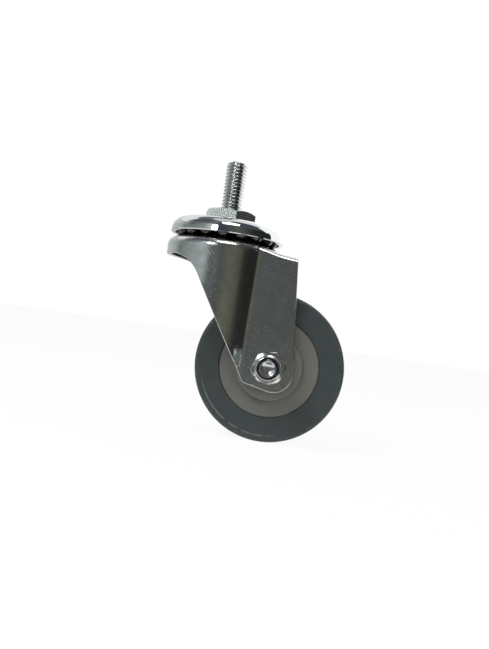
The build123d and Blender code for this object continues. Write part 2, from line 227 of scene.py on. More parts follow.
class Paint(Graph):
    """A material's graph around one Principled shader."""

    def __init__(self, name: str) -> None:
        """Makes an empty material.

        Args:
            name: the material's name.
        """
        self.material = bpy.data.materials.new(name)
        self.material.use_nodes = True
        super().__init__(self.material.node_tree)
        self.shader = self.tree.nodes["Principled BSDF"]

    def place(self) -> Flow:
        """Object coordinates in millimetres."""
        coords = self.add("TexCoord", output="Object")
        return self.add("VectorMath", {"operation": "SCALE"}, {0: coords, "Scale": 1000.0})

    def shift(self, vector: Flow, move: Colour, stretch: Colour = (1, 1, 1)) -> Flow:
        """Moves a vector, then stretches it."""
        moved = self.add("VectorMath", {"operation": "SUBTRACT"}, {0: vector, 1: move})
        return self.add("VectorMath", {"operation": "MULTIPLY"}, {0: moved, 1: stretch})

    def axes(self, vector: Flow) -> List[Flow]:
        """The three numbers of a vector."""
        first = self.add("SeparateXYZ", values={0: vector})
        return [Flow(self, socket) for socket in first.socket.node.outputs]

    def noise(
        self, vector: Flow, scale: float, detail: float = 2.0, rough: float = 0.5, warp: float = 0.0
    ) -> Flow:
        """Noise from 0 to 1.

        Args:
            vector: place in millimetres.
            scale: grains per millimetre, about.
            detail: finer layers.
            rough: strength of the finer layers.
            warp: distortion.

        Returns:
            The noise.
        """
        values = {
            "Vector": vector, "Scale": scale, "Detail": detail, "Roughness": rough, "Distortion": warp,
        }
        return self.add("TexNoise", values=values)

    def spots(self, vector: Flow, scale: float, seed: float = 0.0) -> Flow:
        """Distance to the nearest of scattered points."""
        moved = self.shift(vector, (seed, seed * 1.7, seed * 0.6))
        return self.add("TexVoronoi", {"feature": "F1"}, {"Vector": moved, "Scale": scale})

    def set(self, **values: Union[Term, Colour]) -> "Paint":
        """Sets or links the shader's sockets.

        Args:
            values: numbers, colours or flows, named as the sockets are, with underscores for spaces.

        Returns:
            The paint itself.
        """
        for name, value in values.items():
            socket = self.shader.inputs[name.replace("_", " ")]
            if isinstance(value, Flow):
                self.tree.links.new(value.socket, socket)
            elif isinstance(value, tuple):
                socket.default_value = (*value, 1.0)
            else:
                socket.default_value = value
        return self

    def bump(self, height: Flow, strength: float, depth_mm: float) -> "Paint":
        """Raises the surface by height, whose 0 to 1 is depth_mm."""
        values = {"Strength": strength, "Distance": depth_mm * MM, "Height": height}
        return self.set(Normal=self.add("Bump", values=values))


class Glow(Graph):
    """A material that only shines, for what polished metal mirrors."""

    def __init__(self, name: str) -> None:
        """Makes a material without nodes.

        Args:
            name: the material's name.
        """
        self.material = bpy.data.materials.new(name)
        self.material.use_nodes = True
        self.material.node_tree.nodes.clear()
        super().__init__(self.material.node_tree)

    def shine(self, colour: Union[Colour, Flow], strength: float = 1.0) -> bpy.types.Material:
        """Ends the graph with its glow.

        Args:
            colour: one colour or a flow of colours.
            strength: how bright it shines.

        Returns:
            The material.
        """
        shown = colour if isinstance(colour, Flow) else (*colour, 1.0)
        glow = self.add("Emission", values={"Color": shown, "Strength": strength})
        self.add("OutputMaterial", values={"Surface": glow}, output=None)
        return self.material


class FormGraph(Graph):
    """A Geometry Nodes tree with named size inputs."""

    prefix = "GeometryNode"

    def __init__(self, name: str, sizes: Dict[str, str]) -> None:
        """Makes an empty tree.

        Args:
            name: the tree's name.
            sizes: input names and their socket types.
        """
        super().__init__(bpy.data.node_groups.new(name, "GeometryNodeTree"))
        face = self.tree.interface
        face.new_socket("Geometry", in_out="OUTPUT", socket_type="NodeSocketGeometry")
        self.identifiers = {
            label: face.new_socket(label, in_out="INPUT", socket_type=kind).identifier
            for label, kind in sizes.items()
        }
        self.group_in = self.tree.nodes.new("NodeGroupInput")

    def size(self, label: str) -> Flow:
        """One of the tree's inputs."""
        return Flow(self, self.group_in.outputs[label])

    def finish(self, geometry: Flow) -> None:
        """Ends the tree: realised, smooth, with its material, and sent out.

        Args:
            geometry: what the tree has made.
        """
        real = self.add("RealizeInstances", values={0: geometry})
        smooth = self.add("SetShadeSmooth", values={0: real})
        painted = self.add("SetMaterial", values={0: smooth, "Material": self.size("Material")})
        out = self.tree.nodes.new("NodeGroupOutput")
        self.tree.links.new(painted.socket, out.inputs[0])

    def grow(self, name: str, sizes: Dict[str, object]) -> bpy.types.Mesh:
        """Runs the tree and returns a plain mesh.

        Args:
            name: the mesh's name.
            sizes: values for the named inputs.

        Returns:
            A mesh without modifiers.
        """
        carrier = bpy.data.objects.new(name + "_carrier", bpy.data.meshes.new(name))
        bpy.context.scene.collection.objects.link(carrier)
        modifier = carrier.modifiers.new("form", "NODES")
        modifier.node_group = self.tree
        for label, value in sizes.items():
            modifier[self.identifiers[label]] = value
        evaluated = carrier.evaluated_get(bpy.context.evaluated_depsgraph_get())
        mesh = bpy.data.meshes.new_from_object(evaluated)
        bpy.data.objects.remove(carrier)
        mesh.name = name
        return mesh


SEAM_GAP = 1e-6  # metres within which the two ends of a tube's seam are one
BALL_SEGMENTS, BALL_RINGS = 32, 20


def thread_graph() -> FormGraph:
    """Tree of a screw thread: a tube along Z whose wall follows a right-hand helix.

    Returns:
        The tree, whose tube starts and ends in plain rings.
    """
    kinds = {name: "NodeSocketFloat" for name in
             ("Crest Radius", "Pitch", "Depth", "Length", "Run Out", "Tip Chamfer")}
    g = FormGraph("screw_thread", {**kinds, "Around": "NodeSocketInt", "Rows": "NodeSocketInt",
                                   "Material": "NodeSocketMaterial"})
    grid = g.add("MeshGrid", values={
        "Size X": 1.0, "Size Y": 1.0,
        "Vertices X": g.math("ADD", g.size("Around"), 1.0), "Vertices Y": g.size("Rows")})
    spot = g.add("SeparateXYZ", values={0: g.add("InputPosition")}, prefix="ShaderNode")
    turn = spot + 0.5
    height = (Flow(g, spot.socket.node.outputs[1]) + 0.5) * g.size("Length")
    phase = g.math("FRACT", height / g.size("Pitch") - turn)
    slope = g.math("ABSOLUTE", phase - 0.5) * 2.0
    crest_share, flank_share = 0.125, 0.625
    groove = g.math("MINIMUM", g.math("MAXIMUM", (slope - crest_share) / flank_share, 0.0), 1.0)
    fade = g.math("MINIMUM", height / g.size("Run Out"), 1.0)
    wall = g.size("Crest Radius") - groove * g.size("Depth") * fade
    to_tip = g.size("Length") - height
    cone = g.size("Crest Radius") - g.size("Tip Chamfer") + to_tip
    radius = g.math("MINIMUM", wall, cone)
    angle = turn * math.tau
    point = g.add("CombineXYZ", values={
        0: g.math("COSINE", angle) * radius, 1: g.math("SINE", angle) * radius, 2: height,
    }, prefix="ShaderNode")
    tube = g.add("SetPosition", values={"Geometry": grid, "Position": point})
    g.finish(g.add("MergeByDistance", values={"Geometry": tube, "Distance": SEAM_GAP}))
    return g


def ball_row_graph() -> FormGraph:
    """Tree of a ring of balls in the XY plane.

    Returns:
        The tree.
    """
    g = FormGraph("ball_row", {
        "Count": "NodeSocketInt", "Row Radius": "NodeSocketFloat", "Ball Radius": "NodeSocketFloat",
        "Material": "NodeSocketMaterial"})
    ring = g.add("MeshCircle", values={"Vertices": g.size("Count"), "Radius": g.size("Row Radius")})
    ball = g.add("MeshUVSphere", values={
        "Segments": BALL_SEGMENTS, "Rings": BALL_RINGS, "Radius": g.size("Ball Radius")})
    g.finish(g.add("InstanceOnPoints", values={"Points": ring, "Instance": ball}))
    return g


# --- mesh making ----------------------------------------------------------------------------------
Row = Callable[[float], Tuple[float, float]]
BEVEL_ANGLE = 30.0
RING_GAP = 2e-7  # metres within which the rings of two joined meshes are one
BALL_SHARP = 60.0


def circle_row(radius: float, height: float) -> Row:
    """Round row of a turned form, in millimetres."""
    return lambda angle: (radius, height)


@dataclass(frozen=True)
class HexForm:
    """Hexagon across its flats, turned by an angle, as rows of a turned form."""

    across: float
    turn: float

    def radius(self, angle: float) -> float:
        """Distance from the axis to the side at an angle in degrees."""
        off = (angle - self.turn) % 60.0 - 30.0
        return self.across / 2 / math.cos(math.radians(off))

    def side(self, height: float) -> Row:
        """Row on the sides at one height."""
        return lambda angle: (self.radius(angle), height)

    def bevel(self, end: float, inward: float) -> Row:
        """Row where a 30 degree bevel leaves the sides.

        Args:
            end: height of the bevelled end.
            inward: +1 or -1, the way from that end into the hexagon.

        Returns:
            The row.
        """
        rise = math.tan(math.radians(BEVEL_ANGLE))
        return lambda angle: (
            self.radius(angle), end + inward * (self.radius(angle) - self.across / 2) * rise)


@dataclass
class Turned:
    """Rows of points round an axis, joined into a closed skin."""

    around: int = 96
    rows: List[Row] = field(default_factory=list)

    def add(self, *rows: Row) -> "Turned":
        """Adds rows in order along the profile."""
        self.rows.extend(rows)
        return self

    def rounds(self, *points: Tuple[float, float]) -> "Turned":
        """Adds round rows, each a radius and a height."""
        return self.add(*(circle_row(radius, height) for radius, height in points))

    def arc(self, centre: Tuple[float, float], radius: float, start: float, end: float,
            steps: int) -> "Turned":
        """Adds an arc of the profile.

        Args:
            centre: its centre as radius and height.
            radius: its radius.
            start: angle of the first point in degrees, 0 pointing outwards.
            end: angle of the last point.
            steps: spans between its points.

        Returns:
            The form itself.
        """
        for step in range(steps + 1):
            angle = math.radians(start + (end - start) * step / steps)
            self.add(circle_row(
                centre[0] + radius * math.cos(angle), centre[1] + radius * math.sin(angle)))
        return self

    def _ring(self, work: bmesh.types.BMesh, row: Row) -> List[bmesh.types.BMVert]:
        """Sets out one row's points.

        Args:
            work: the mesh that they go into.
            row: the row.

        Returns:
            Its vertices in order.
        """
        ring = []
        for step in range(self.around):
            angle = 360.0 * step / self.around
            radius, height = row(angle)
            turn = math.radians(angle)
            ring.append(work.verts.new(
                Vector((radius * math.cos(turn), radius * math.sin(turn), height)) * MM))
        return ring

    def mesh(self, name: str, closed: bool = False, capped: bool = False) -> bpy.types.Mesh:
        """Builds the skin.

        Args:
            name: the mesh's name.
            closed: joins the last row to the first, as on a ring.
            capped: closes the last row with a fan.

        Returns:
            The mesh, in metres, its axis along Z.
        """
        work = bmesh.new()
        rings = [self._ring(work, row) for row in self.rows]
        following = rings[1:] + rings[:1] if closed else rings[1:]
        for low, high in zip(rings, following):
            for step in range(self.around):
                after = (step + 1) % self.around
                work.faces.new((low[step], low[after], high[after], high[step]))
        if capped:
            ring = rings[-1]
            pole = work.verts.new(sum((v.co for v in ring), Vector()) / len(ring))
            for step in range(self.around):
                work.faces.new((ring[step], ring[(step + 1) % self.around], pole))
        return to_mesh(work, name)


def to_mesh(work: bmesh.types.BMesh, name: str) -> bpy.types.Mesh:
    """Turns a working mesh into a plain one and frees it.

    Args:
        work: the working mesh.
        name: the plain mesh's name.

    Returns:
        The plain mesh.
    """
    mesh = bpy.data.meshes.new(name)
    work.to_mesh(mesh)
    work.free()
    return mesh


def finish_mesh(parts: Sequence[bpy.types.Mesh], name: str, place: Matrix,
                sharp_angle: float = 35.0) -> bpy.types.Mesh:
    """Joins meshes, merges their shared rings, turns faces outward and marks sharp edges.

    Args:
        parts: meshes that share rings, or a single mesh.
        name: the result's name.
        place: where it goes.
        sharp_angle: edges bent by more than this many degrees stay crisp.

    Returns:
        The finished mesh.
    """
    work = bmesh.new()
    for part in parts:
        work.from_mesh(part)
    bmesh.ops.remove_doubles(work, verts=work.verts, dist=RING_GAP)
    bmesh.ops.transform(work, matrix=place, verts=work.verts)
    bmesh.ops.recalc_face_normals(work, faces=work.faces)
    for face in work.faces:
        face.smooth = True
    limit = math.radians(sharp_angle)
    for edge in work.edges:
        if len(edge.link_faces) == 2:
            edge.smooth = edge.calc_face_angle() < limit
    return to_mesh(work, name)


def make_piece(mesh: bpy.types.Mesh, paint: Paint, body: str,
               replaced: Sequence[str]) -> bpy.types.Object:
    """Puts a finished mesh in the scene as a piece of the castor.

    Args:
        mesh: the mesh, in place.
        paint: its material.
        body: the moving body that it rides on.
        replaced: solids that it stands for.

    Returns:
        The piece.
    """
    mesh.materials.clear()
    mesh.materials.append(paint.material)
    piece = bpy.data.objects.new(mesh.name, mesh)
    bpy.context.scene.collection.objects.link(piece)
    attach(piece, body)
    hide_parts(*replaced)
    LOG.info("%s: %d faces on %s", mesh.name, len(mesh.polygons), body)
    return piece


def dress_node(node: str, paint: Paint) -> None:
    """Gives a solid of the frame its material.

    Args:
        node: the solid's node.
        paint: its material.
    """
    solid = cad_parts[node]
    for slot in solid.material_slots:
        slot.material = paint.material
    LOG.info("%s: dressed with %s", node, paint.material.name)


# --- finishes -------------------------------------------------------------------------------------
class Grain(Enum):
    """Which way a metal's working marks run."""

    TURNED = "rings round Z"
    DRAWN = "lines along Z"
    AXLE = "rings round the axle"
    SCREW = "rings round Z on the stem, lines along Z on its hex shoulder"


SPECK_BROWN = (0.06, 0.055, 0.05)
SCRATCH_WHITE = (0.95, 0.96, 0.95)
CUT_EDGE_HIGHLIGHT = (0.97, 0.98, 0.97)
GREASE_AND_SHADE_BLACK = (0.012, 0.013, 0.010)
RING_BLUE = (0.003, 0.004, 0.014)


@dataclass
class Look:
    """What a metal shows at a spot, before it goes to the shader."""

    colour: Flow
    rough: Flow
    relief: Flow
    metallic: Term = 1.0

    def coat(self, paint: Paint, film: Flow, colour: Colour) -> None:
        """Lays a film that isn't metal.

        Args:
            paint: the material's graph.
            film: 1 where the film lies.
            colour: its colour.
        """
        self.colour = paint.blend(film, self.colour, colour)
        self.metallic = film * -1.0 + 1.0


@dataclass(frozen=True)
class Metal:
    """Plated or ground steel with fine working marks.

    It may also be worn, with specks and scratches, carry a painted highlight on its cut edges, have
    grease and painted shade where the upper balls run, or show a nylon film and painted shade round
    the end of the axle.
    """

    name: str
    colour: Colour
    dull: Colour
    rough: float
    rough_spread: float
    grain: Grain
    grain_depth: float = 0.004
    specks: float = 0.0
    greased_and_shaded: bool = False
    blue_ring: Optional[Tuple[float, float]] = None
    groove: Tuple[float, float] = (4.75, 5.2)
    cut_side: Tuple[float, float] = (20.2, 22.4)
    cut_top: Tuple[float, float] = (-74.0, -71.0)
    ring_side: Tuple[float, float] = (-31.0, -30.0)

    def _lines(self, p: Paint, at: Flow) -> Flow:
        """Draws the working marks.

        Args:
            p: the material's graph.
            at: place in millimetres.

        Returns:
            The marks, from 0 to 1.
        """
        drawn = p.noise(p.shift(at, (0, 0, 0), (3.0, 3.0, 0.12)), 1.0, 3.0, 0.6)
        if self.grain is Grain.DRAWN:
            return drawn
        x, y, z = p.axes(p.shift(at, AXLE_MM) if self.grain is Grain.AXLE else at)
        side, along = (z, y) if self.grain is Grain.AXLE else (y, z)
        around = (x * x + side * side) ** 0.5
        section = p.add("CombineXYZ", values={0: around * 9.0, 1: along * 9.0, 2: 0.0})
        rings = p.noise(section, 1.0, 3.0, 0.6)
        if self.grain is Grain.SCREW:
            return rings + (drawn - rings) * z.ramp(-0.05, 0.0, 1.0, 0.0)
        return rings

    def _scratches(self, p: Paint, at: Flow, angle: float, seed: float) -> Flow:
        """Draws long thin scratches across the XZ plane.

        Args:
            p: the material's graph.
            at: place in millimetres.
            angle: their slope in degrees.
            seed: shift that gives another set.

        Returns:
            1 inside a scratch.
        """
        turned = p.add("VectorRotate", {"rotation_type": "Y_AXIS"},
                       {"Vector": at, "Angle": math.radians(angle)})
        return p.noise(p.shift(turned, (seed, 0, 0), (0.24, 0.3, 5.0)), 1.0, 1.0).ramp(0.70, 0.76)

    def _wear(self, p: Paint, at: Flow, lines: Flow, look: Look) -> None:
        """Adds brown specks, pale scratches, grit and a painted highlight on the cut edge at the legs'
        ends.

        Args:
            p: the material's graph.
            at: place in millimetres.
            lines: the working marks.
            look: what is changed.
        """
        dots = p.spots(at, 0.9, 3.0).ramp(0.05, 0.16, 1.0, 0.0)
        mask = p.noise(at, 0.6, 1.0).ramp(0.5, 0.62)
        colour = p.blend(dots * mask * self.specks, look.colour, SPECK_BROWN)
        cuts = p.math("MAXIMUM", self._scratches(p, at, 28, 3), self._scratches(p, at, -52, 11))
        grit = p.noise(at, 1.4, 2.0, 0.6)
        rubbed = p.noise(at, 1.1, 1.0).ramp(0.66, 0.74)
        colour = p.blend(p.math("MAXIMUM", cuts * 0.35, rubbed * 0.3), colour, SCRATCH_WHITE)
        _, y, z = p.axes(at)
        # painted highlight: the sheet's cut edge at the legs' ends is painted near white
        side = p.math("ABSOLUTE", y)
        inner, outer = self.cut_side
        edge = side.ramp(outer - 0.1, outer, 1.0, 0.0) * side.ramp(inner, inner + 0.2)
        edge = edge * z.ramp(*self.cut_top, 1.0, 0.0)
        look.colour = p.blend(edge, colour, CUT_EDGE_HIGHLIGHT)
        look.relief = grit * 1.6 + lines * 0.5 + cuts * 0.6
        look.rough = look.rough + cuts * 0.15 + grit * 0.06 + edge * 0.35

    def _grease_and_shade(self, p: Paint, at: Flow, look: Look) -> None:
        """Blackens the groove of the upper balls: grease, and painted shade of the dark gap between the
        cap and the fork.

        Args:
            p: the material's graph.
            at: place in millimetres.
            look: what is changed.
        """
        x, y, z = p.axes(at)
        out = (x * x + y * y) ** 0.5 - ROW_MM[0]
        rise = z - ROW_MM[1]
        # painted shade: the race groove is blackened like the shaded gap, with grease in it
        film = ((out * out + rise * rise) ** 0.5).ramp(*self.groove, 1.0, 0.0)
        look.coat(p, film, GREASE_AND_SHADE_BLACK)
        look.rough = look.rough + film * 0.25

    def _nylon_film_and_shade(self, p: Paint, at: Flow, look: Look) -> None:
        """Darkens a ring at the axle's near end, where the nut's nylon grips it: a nylon film and painted
        shade of the gap inside the nut's collar.

        Args:
            p: the material's graph.
            at: place in millimetres.
            look: what is changed.
        """
        x, y, z = p.axes(p.shift(at, AXLE_MM))
        around = (x * x + z * z) ** 0.5
        inner, outer = self.blue_ring
        film = around.ramp(inner - 0.05, inner + 0.05) * around.ramp(outer, outer + 0.1, 1.0, 0.0)
        # nylon film and painted shade: the dark blue ring stands for the nylon and the shaded gap inside
        # the collar
        look.coat(p, film * y.ramp(*self.ring_side, 1.0, 0.0), RING_BLUE)

    def paint(self) -> Paint:
        """Builds the material.

        Returns:
            Its graph.
        """
        p = Paint(self.name)
        at = p.place()
        lines = self._lines(p, at)
        cloud = p.noise(at, 0.25, 3.0, 0.55)
        fine = p.noise(at, 5.0, 2.0, 0.5)
        tone = cloud.ramp(0.3, 0.75) * 0.7 + fine * 0.3
        look = Look(
            colour=p.blend(tone, self.colour, self.dull),
            rough=lines * self.rough_spread + (self.rough + cloud * self.rough_spread),
            relief=lines * 0.8 + fine * 0.2)
        if self.specks > 0:
            self._wear(p, at, lines, look)
        if self.greased_and_shaded:
            self._grease_and_shade(p, at, look)
        if self.blue_ring:
            self._nylon_film_and_shade(p, at, look)
        p.set(Metallic=look.metallic, Base_Color=look.colour, Roughness=look.rough)
        return p.bump(look.relief, 0.5, self.grain_depth)


SPECK_BLACK = (0.02, 0.02, 0.02)
SCUFF_AND_HIGHLIGHT_GREY = (0.15, 0.16, 0.16)


@dataclass(frozen=True)
class Moulding:
    """Moulded rubber or plastic about the axle, with a fine grain and faint rings."""

    name: str
    colour: Colour
    worn: Colour
    rough: float
    grain: float
    rings: float
    specks: float = 0.0
    scuffed_and_highlit: bool = False
    highlight_ring: Tuple[float, float] = (34.0, 35.2)
    tread_edge: float = 35.8

    def _scuffs_and_highlight(self, p: Paint, at: Flow, around: Flow) -> Flow:
        """Paints highlight arcs into the low front of the tyre's shoulder and rubs flecks into the edge
        of the tread.

        Args:
            p: the material's graph.
            at: place from the axle in millimetres.
            around: distance from the axle.

        Returns:
            How much is painted highlight and rubbed scuff, from 0 to 1.
        """
        inner, outer = self.highlight_ring
        x, _, z = p.axes(at)
        band = around.ramp(inner, inner + 0.4) * around.ramp(outer - 0.5, outer, 1.0, 0.0)
        # painted highlight: pale arcs where light catches the low front of the shoulder; the flecks below
        # are scuffs
        low_front = (x * -0.5 - z * 0.85).ramp(22.0, 31.0)
        arcs = band * low_front * p.noise(at, 0.2, 1.0).ramp(0.35, 0.6) * 0.6
        flecks = p.noise(at, 0.9, 2.0).ramp(0.62, 0.70)
        edge = around.ramp(self.tread_edge, self.tread_edge + 0.8) * flecks * 0.6
        return p.math("MAXIMUM", arcs, edge)

    def paint(self) -> Paint:
        """Builds the material.

        Returns:
            Its graph.
        """
        p = Paint(self.name)
        at = p.shift(p.place(), AXLE_MM)
        x, y, z = p.axes(at)
        around = (x * x + z * z) ** 0.5
        section = p.add("CombineXYZ", values={0: around * 2.2, 1: y * 2.2, 2: 0.0})
        rings = p.noise(section, 1.0, 3.0)
        cloud = p.noise(at, 0.12, 3.0, 0.55)
        fine = p.noise(at, 4.0, 3.0, 0.6)
        tone = cloud.ramp(0.3, 0.7) * 0.55 + rings * 0.3 + fine * 0.15
        colour = p.blend(tone, self.colour, self.worn)
        if self.specks > 0:
            dots = p.spots(at, 0.33, 5.0).ramp(0.04, 0.11, 1.0, 0.0)
            colour = p.blend(dots * self.specks, colour, SPECK_BLACK)
        if self.scuffed_and_highlit:
            colour = p.blend(self._scuffs_and_highlight(p, at, around), colour, SCUFF_AND_HIGHLIGHT_GREY)
        p.set(Base_Color=colour, Roughness=fine * 0.12 + (self.rough - 0.06), Specular_IOR_Level=0.45)
        return p.bump(fine * self.grain + rings * self.rings, 0.6, 0.05)


FINISHES = {
    "stem": Metal("bright_stem", (0.76, 0.78, 0.76), (0.58, 0.60, 0.58), 0.10, 0.10, Grain.SCREW, 0.006),
    "cap": Metal("mirror_cap", (0.70, 0.71, 0.71), (0.64, 0.65, 0.65), 0.02, 0.03, Grain.TURNED, 0.0006,
                 greased_and_shaded=True),
    "fork": Metal("pressed_plate", (0.72, 0.73, 0.72), (0.55, 0.55, 0.53), 0.10, 0.05, Grain.DRAWN, 0.008,
                  specks=0.6, greased_and_shaded=True),
    "bolt": Metal("bright_bolt", (0.74, 0.75, 0.73), (0.60, 0.61, 0.60), 0.07, 0.08, Grain.AXLE,
                  blue_ring=(4.1, 5.0)),
    # painted shade: the balls are near black, greasy steel darkened like the shaded gap they sit in
    "ball": Metal("ball_steel", (0.16, 0.16, 0.15), (0.10, 0.10, 0.09), 0.12, 0.08, Grain.TURNED, 0.0005),
    "race": Metal("ground_race", (0.62, 0.62, 0.61), (0.48, 0.48, 0.47), 0.22, 0.16, Grain.AXLE),
    "cup": Metal("pressed_cup", (0.66, 0.66, 0.64), (0.50, 0.50, 0.48), 0.20, 0.16, Grain.TURNED),
    "shield": Metal("shield_sheet", (0.66, 0.66, 0.65), (0.52, 0.52, 0.51), 0.2, 0.14, Grain.AXLE, 0.003),
    "hub": Moulding("hub_moulding", (0.100, 0.101, 0.090), (0.122, 0.122, 0.109), 0.46, 0.5, 0.25,
                    specks=0.85),
    "tyre": Moulding("tyre_rubber", (0.027, 0.035, 0.036), (0.037, 0.046, 0.047), 0.48, 0.6, 0.3,
                     scuffed_and_highlit=True),
    "nylon": Moulding("blue_nylon", (0.005, 0.007, 0.026), (0.008, 0.011, 0.036), 0.30, 0.2, 0.1),
    "cage": Moulding("cage_nylon", (0.60, 0.56, 0.45), (0.68, 0.64, 0.53), 0.45, 0.3, 0.1),
}


# --- sub-assemblies -------------------------------------------------------------------------------
@dataclass
class Stem:
    """Threaded stem, hex shoulder, king pin and riveted end, all in millimetres."""

    around: int = 144  # steps of 2.5 degrees, which meet the corners of the turned hexagon
    thread_radius: float = 5.555
    thread_depth: float = 1.05
    thread_rows: int = 225
    pitch: float = 1.814
    length: float = 26.0
    tip_chamfer: float = 1.2
    run_out: float = 2.4
    hexagon: HexForm = HexForm(23.8, -12.5)
    hex_height: float = 5.2
    hex_edge: float = 0.2
    pin_radius: float = 6.0
    shank_radius: float = 5.0
    cup_sheet: float = 2.0
    head_radius: float = 7.505
    head_height: float = 2.8
    head_edge: float = 0.6
    land: float = 0.4

    def _tip(self) -> bpy.types.Mesh:
        """The flat at the top of the thread.

        Returns:
            The mesh.
        """
        rim = self.thread_radius - self.tip_chamfer
        tip = Turned(self.around).rounds((rim, self.length), (rim - self.land, self.length))
        return tip.mesh("stem_tip", capped=True)

    def _lower(self, bottom: float) -> bpy.types.Mesh:
        """Hexagon, pin and domed rivet head.

        Args:
            bottom: height of the lowest point.

        Returns:
            The mesh.
        """
        head_top = bottom + self.head_height
        cup_top = head_top + self.cup_sheet
        flat = self.hexagon.across / 2
        hex_foot = -self.hex_height
        form = Turned(self.around)
        form.rounds((self.thread_radius, 0), (flat, 0))
        form.add(self.hexagon.bevel(0, -1), self.hexagon.side(hex_foot + self.hex_edge))
        form.rounds(
            (flat - self.hex_edge, hex_foot), (self.pin_radius, hex_foot), (self.pin_radius, cup_top),
            (self.shank_radius, cup_top), (self.shank_radius, head_top), (self.head_radius, head_top))
        rise = self.head_height - self.head_edge
        dome = (self.head_radius**2 + rise**2) / (2 * rise)
        dome_angle = math.degrees(math.asin(self.head_radius / dome))
        form.arc((0, bottom + dome), dome, -90 + dome_angle, -88, 8)
        return form.mesh("stem_lower", capped=True)

    def build(self, threads: FormGraph, paint: Paint) -> None:
        """Makes the piece in place of its plain solid.

        Args:
            threads: the tree of a screw thread.
            paint: the stem's finish.
        """
        low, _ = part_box("threaded_stem")
        tube = threads.grow("stem_thread_tube", {
            "Crest Radius": self.thread_radius * MM, "Pitch": self.pitch * MM,
            "Depth": self.thread_depth * MM, "Length": self.length * MM,
            "Run Out": self.run_out * MM, "Tip Chamfer": self.tip_chamfer * MM,
            "Around": self.around, "Rows": self.thread_rows, "Material": paint.material})
        mesh = finish_mesh([tube, self._tip(), self._lower(low.z / MM)],
                           "threaded_stem_turned", Matrix.Identity(4))
        make_piece(mesh, paint, "stem_head", ["threaded_stem"])


@dataclass
class SwivelHead:
    """Cap, race cup and the two rows of balls, in millimetres."""

    upper_count: int = 17
    upper_ball: float = 4.0
    lower_count: int = 12
    lower_ball: float = 3.175

    def build(self, rows: FormGraph, ball: Paint) -> None:
        """Makes the ball rows in place of their solids.

        Args:
            rows: the tree of a ring of balls.
            ball: their finish.
        """
        for label, count, size in (("upper", self.upper_count, self.upper_ball),
                                   ("lower", self.lower_count, self.lower_ball)):
            low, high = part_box(f"{label}_balls")
            row = -low.y / MM - size
            mesh = rows.grow(f"{label}_row_balls", {
                "Count": count, "Row Radius": row * MM, "Ball Radius": size * MM,
                "Material": ball.material})
            turn = Matrix.Rotation(math.radians(-90), 4, "Z")
            place = Matrix.Translation((0, 0, (low.z + high.z) / 2)) @ turn
            mesh = finish_mesh([mesh], f"{label}_row_balls", place, BALL_SHARP)
            make_piece(mesh, ball, f"{label}_ball_row", [f"{label}_balls"])

    def dress(self, cap: Paint, cup: Paint) -> None:
        """Finishes the pressings that keep their solids."""
        dress_node("top_cap", cap)
        dress_node("lower_race_cup", cup)


